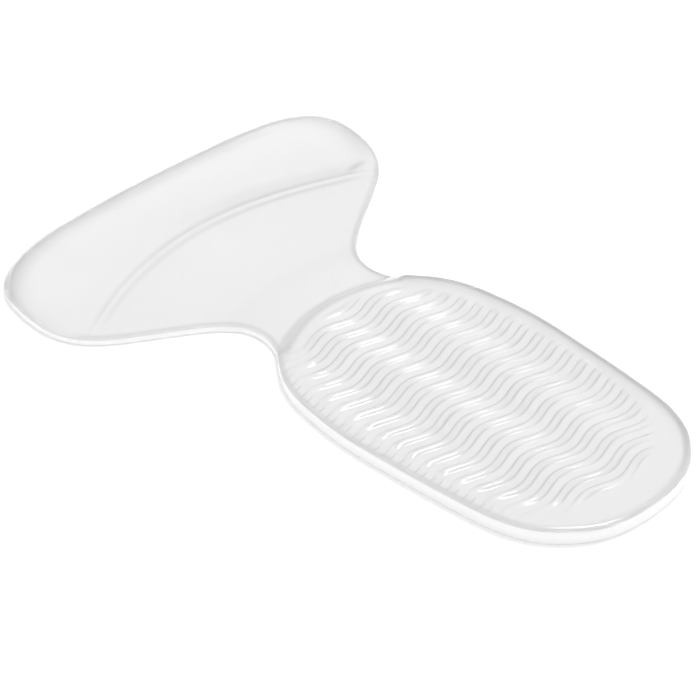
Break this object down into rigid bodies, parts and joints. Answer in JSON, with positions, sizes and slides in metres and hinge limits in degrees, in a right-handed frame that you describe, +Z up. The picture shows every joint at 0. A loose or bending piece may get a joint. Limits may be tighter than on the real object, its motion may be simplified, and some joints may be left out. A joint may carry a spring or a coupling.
{
  "type": "gel heel pad",
  "caption": "Clear T-shaped gel heel liner: an oval sole with wavy cross ribs, a narrow waist and a wide wing with a raised cushion along its top edge.",
  "frame": {"origin": "centre of the flat underside's box, on the surface that the pad lies on", "axes": "+Y from the ribbed sole to the wing's top edge, +X across the pad, +Z up out of the ribbed side"},
  "size_m": [0.0762, 0.1194, 0.004],
  "materials": {
    "clear_gel": "clear soft gel, smooth and slightly milky"
  },
  "bodies": {
    "root": {"gel_pad": "clear_gel"}
  },
  "joints": []
}
